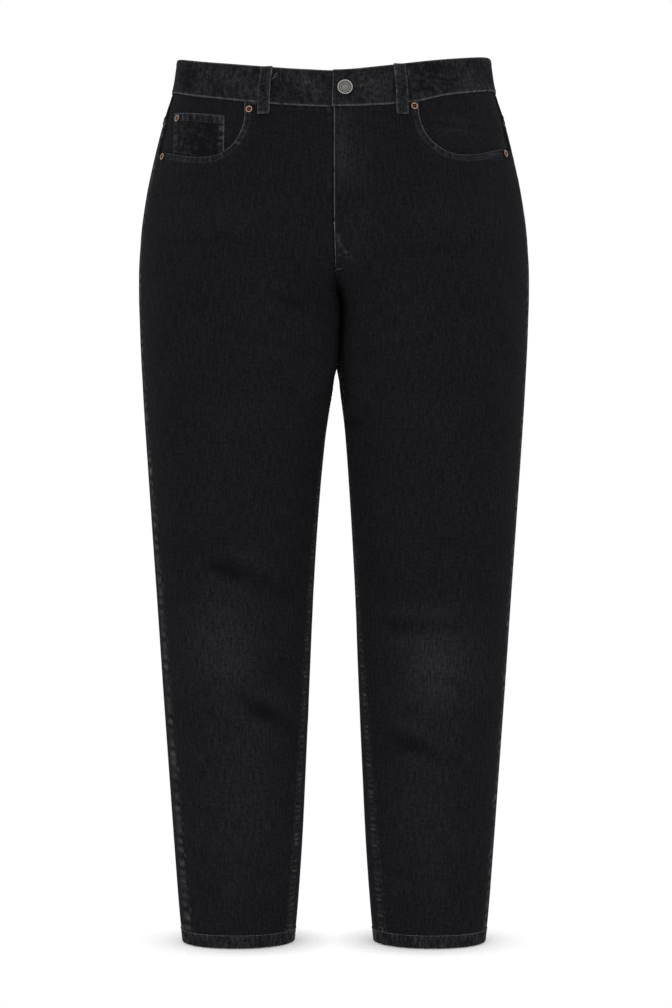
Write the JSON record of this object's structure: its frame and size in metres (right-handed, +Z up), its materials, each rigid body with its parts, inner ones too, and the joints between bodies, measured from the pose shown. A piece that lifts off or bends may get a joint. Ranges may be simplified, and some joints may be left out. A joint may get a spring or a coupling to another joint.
{
  "type": "trousers",
  "caption": "High-waisted mom jeans in black denim, filled out as if worn: lapped waistband with belt loops and button, scoop pockets, coin pocket, yokes, back pockets and tapered legs.",
  "frame": {"origin": "the middle of the waist opening, half way up the waistband at the side seams", "axes": "+Z up, out of the waist opening; the fronts face -Y; the wearer's right leg is at -X"},
  "size_m": [0.4354, 0.2818, 0.9911],
  "materials": {
    "front_right": "black denim, faded along the thigh",
    "front_left": "black denim, faded along the thigh",
    "back_right": "black denim",
    "back_left": "black denim",
    "yoke_right": "black denim",
    "yoke_left": "black denim",
    "waistband": "black denim, worn at the edges",
    "fly_shield": "black denim",
    "pocket_facing_right": "black denim",
    "pocket_facing_left": "black denim",
    "coin_pocket": "black denim, worn at the edges",
    "back_pocket_right": "black denim, worn at the edges",
    "back_pocket_left": "black denim, worn at the edges",
    "belt_loop_front_right": "black denim, worn at the edges",
    "belt_loop_front_left": "black denim, worn at the edges",
    "belt_loop_side_right": "black denim, worn at the edges",
    "belt_loop_side_left": "black denim, worn at the edges",
    "belt_loop_back": "black denim, worn at the edges",
    "hem_right": "black denim, worn at the edges",
    "hem_left": "black denim, worn at the edges",
    "button": "aged pewter",
    "rivet_mouth_right": "aged copper",
    "rivet_seam_right": "aged copper",
    "rivet_mouth_left": "aged copper",
    "rivet_seam_left": "aged copper",
    "rivet_coin": "aged copper"
  },
  "bodies": {
    "root": {"front_right": "front_right", "front_left": "front_left", "back_right": "back_right", "back_left": "back_left", "yoke_right": "yoke_right", "yoke_left": "yoke_left", "waistband": "waistband", "fly_shield": "fly_shield", "pocket_facing_right": "pocket_facing_right", "pocket_facing_left": "pocket_facing_left", "coin_pocket": "coin_pocket", "back_pocket_right": "back_pocket_right", "back_pocket_left": "back_pocket_left", "belt_loop_front_right": "belt_loop_front_right", "belt_loop_front_left": "belt_loop_front_left", "belt_loop_side_right": "belt_loop_side_right", "belt_loop_side_left": "belt_loop_side_left", "belt_loop_back": "belt_loop_back", "hem_right": "hem_right", "hem_left": "hem_left", "button": "button", "rivet_mouth_right": "rivet_mouth_right", "rivet_seam_right": "rivet_seam_right", "rivet_mouth_left": "rivet_mouth_left", "rivet_seam_left": "rivet_seam_left", "rivet_coin": "rivet_coin"}
  },
  "joints": []
}
